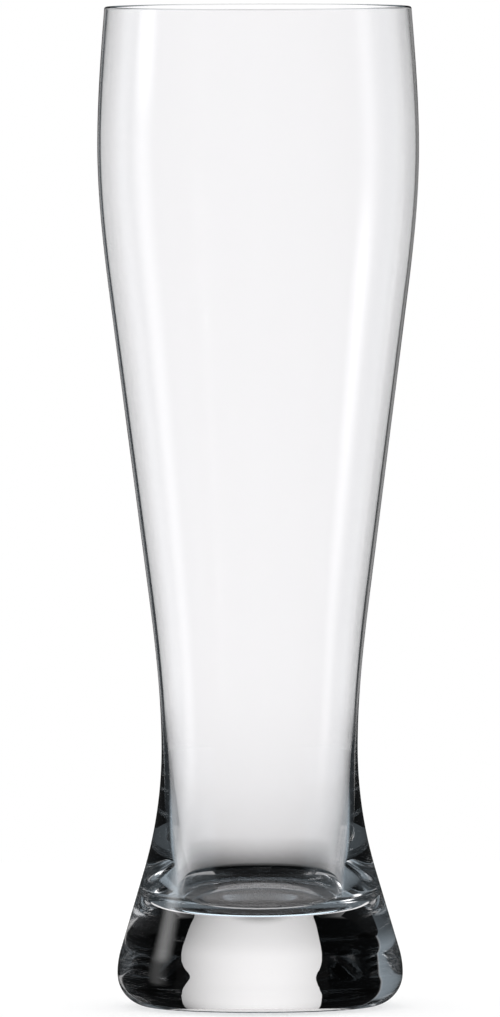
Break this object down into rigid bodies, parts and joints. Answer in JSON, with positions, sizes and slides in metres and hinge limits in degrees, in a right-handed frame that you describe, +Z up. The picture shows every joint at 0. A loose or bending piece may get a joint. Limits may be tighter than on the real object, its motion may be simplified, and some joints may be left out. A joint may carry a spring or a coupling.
{
  "type": "weizen glass",
  "caption": "Tall wheat beer glass with a thin flared bowl, a narrow waist and a heavy solid base that flares out to a rounded heel.",
  "frame": {"origin": "centre of the resting face, on the table", "axes": "+Z up along the axis of the glass, from the base to the lip; X and Y lie in the table and are alike, because the glass is round"},
  "size_m": [0.0804, 0.0804, 0.25],
  "materials": {
    "bowl_glass": "clear, fire polished",
    "base_glass": "clear, polished, with a faint cool tint in the thick glass"
  },
  "bodies": {
    "root": {"bowl": "bowl_glass", "base": "base_glass"}
  },
  "joints": []
}
